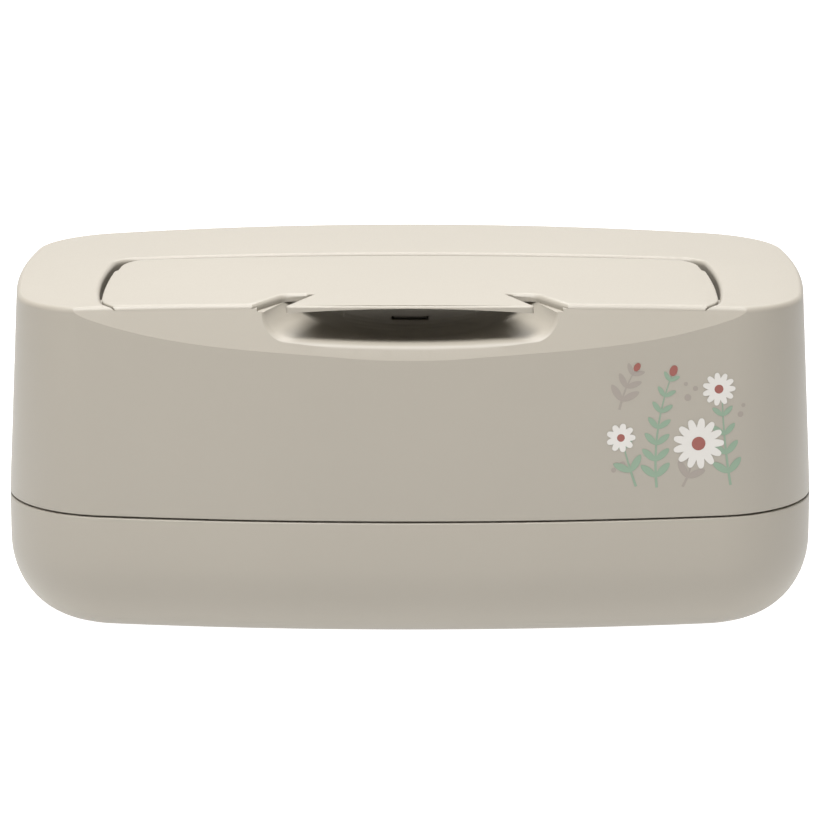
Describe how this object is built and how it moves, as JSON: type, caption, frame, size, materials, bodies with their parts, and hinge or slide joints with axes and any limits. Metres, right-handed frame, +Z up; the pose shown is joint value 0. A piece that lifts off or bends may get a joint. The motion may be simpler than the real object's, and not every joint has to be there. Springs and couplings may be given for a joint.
{
  "type": "wet wipes box",
  "caption": "Rounded box for wet wipes with a lift-off cover, a hinged flap with a dovetail tab over a finger recess, a sealed opening and a weighted plate.",
  "frame": {"origin": "on the table, under the middle of the box", "axes": "+X along the width to the right as seen from the front, +Y towards the back, +Z up"},
  "size_m": [0.24, 0.134, 0.102],
  "materials": {
    "shell_plastic": "satin moulded plastic, warm beige",
    "inner_plastic": "satin moulded plastic, pale beige",
    "soft_seal": "matte moulded rubber, warm grey",
    "foot_rubber": "matte soft rubber, grey-brown",
    "pin_steel": "drawn stainless steel"
  },
  "bodies": {
    "base": {"base_tub": "shell_plastic", "rim_seal": "soft_seal", "foot_front_left": "foot_rubber", "foot_front_right": "foot_rubber", "foot_rear_left": "foot_rubber", "foot_rear_right": "foot_rubber"},
    "cover": {"cover_shell": "shell_plastic"},
    "flap": {"flap_panel": "shell_plastic", "flap_liner": "inner_plastic", "flap_seal": "soft_seal", "hinge_pin_left": "pin_steel", "hinge_pin_right": "pin_steel"},
    "plate": {"weight_plate": "inner_plastic", "weight_bar_left": "pin_steel", "weight_bar_right": "pin_steel"}
  },
  "joints": [
    {"name": "cover_lift", "type": "slide", "parent": "base", "child": "cover", "axis": [0, 0, 1], "range_m": [0, 0.08]},
    {"name": "flap_hinge", "type": "hinge", "parent": "cover", "child": "flap", "pos_m": [0, 0.0068, 0.098], "axis": [-1, 0, 0], "range_deg": [0, 95]},
    {"name": "plate_slide", "type": "slide", "parent": "base", "child": "plate", "axis": [0, 0, 1], "range_m": [0, 0.06]}
  ]
}
